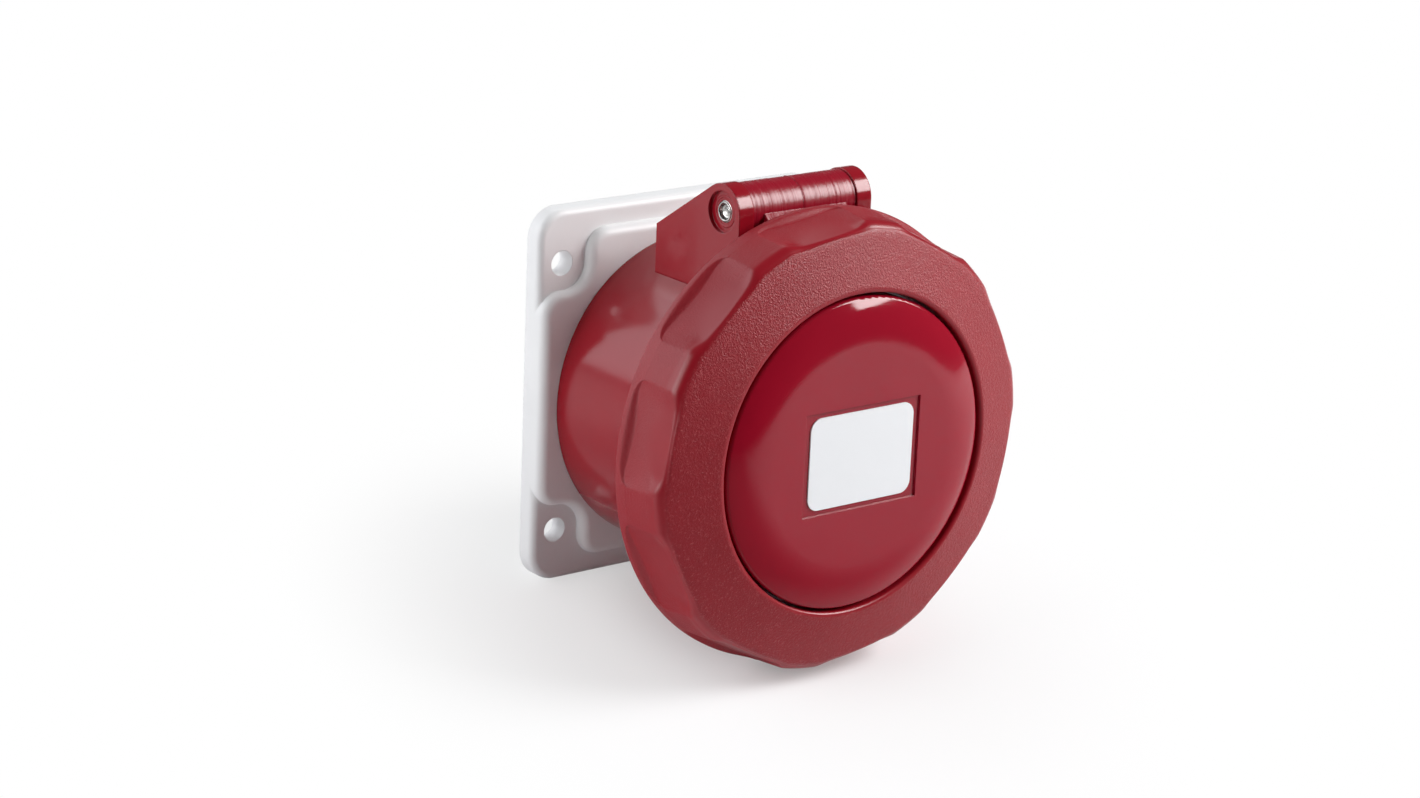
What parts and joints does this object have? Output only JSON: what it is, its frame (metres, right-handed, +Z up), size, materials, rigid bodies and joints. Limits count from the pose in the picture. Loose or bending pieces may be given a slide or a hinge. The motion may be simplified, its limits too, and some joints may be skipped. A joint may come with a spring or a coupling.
{
  "type": "industrial panel socket",
  "caption": "Red round industrial panel socket on a square grey flange, with a sprung hinged lid, a blank label and a bayonet locking ring with grip pockets.",
  "frame": {"origin": "centre of the four fixing holes on the back face of the flange", "axes": "+X to the right for someone who faces the lid, +Y into the panel, +Z up; the lid faces -Y"},
  "size_m": [0.1268, 0.1132, 0.1329],
  "materials": {
    "flange_grey": "fine satin moulding, light grey",
    "body_red": "smooth satin red",
    "ring_red": "satin red, fine spark texture on the face",
    "lid_red": "polished red",
    "label_white": "blank white film",
    "insert_grey": "heat-resistant moulding, dark grey",
    "housing_grey": "moulded, mid grey",
    "contact_brass": "turned",
    "screw_steel": "zinc plated",
    "spring_steel": "drawn wire and strip",
    "pin_steel": "bright drawn",
    "seal_rubber": "matt black",
    "retainer_nylon": "natural nylon"
  },
  "bodies": {
    "socket": {"mounting_flange": "flange_grey", "panel_seal": "seal_rubber", "barrel_seal": "seal_rubber", "socket_body": "body_red", "left_ear": "body_red", "right_ear": "body_red", "spring_rest": "body_red", "contact_carrier": "insert_grey", "carrier_plate": "insert_grey", "carrier_face": "insert_grey", "terminal_housing": "housing_grey", "pilot_contact": "contact_brass", "terminal_screws": "screw_steel", "pilot_screw": "screw_steel", "hinge_pin": "pin_steel", "lid_spring": "spring_steel", "earth_contact": "contact_brass", "neutral_contact": "contact_brass", "phase_1_contact": "contact_brass", "phase_2_contact": "contact_brass", "phase_3_contact": "contact_brass", "long_screws": "screw_steel", "housing_screws": "screw_steel", "line_sleeve_clips": "spring_steel", "earth_sleeve_clip": "spring_steel"},
    "lid": {"lid": "lid_red", "lid_seal": "seal_rubber", "label_plate": "label_white"},
    "ring": {"bayonet_ring": "ring_red", "ring_retainer": "retainer_nylon"}
  },
  "joints": [
    {"name": "lid_hinge", "type": "hinge", "parent": "socket", "child": "lid", "pos_m": [0, -0.0503, 0.0602], "axis": [-1, 0, 0], "range_deg": [0, 110], "stiffness_Nm_per_rad": 0.1, "springref_deg": -57.3},
    {"name": "ring_turn", "type": "hinge", "parent": "lid", "child": "ring", "pos_m": [0, -0.07, -0.0016], "axis": [0, 1, 0], "range_deg": [0, 30]}
  ]
}
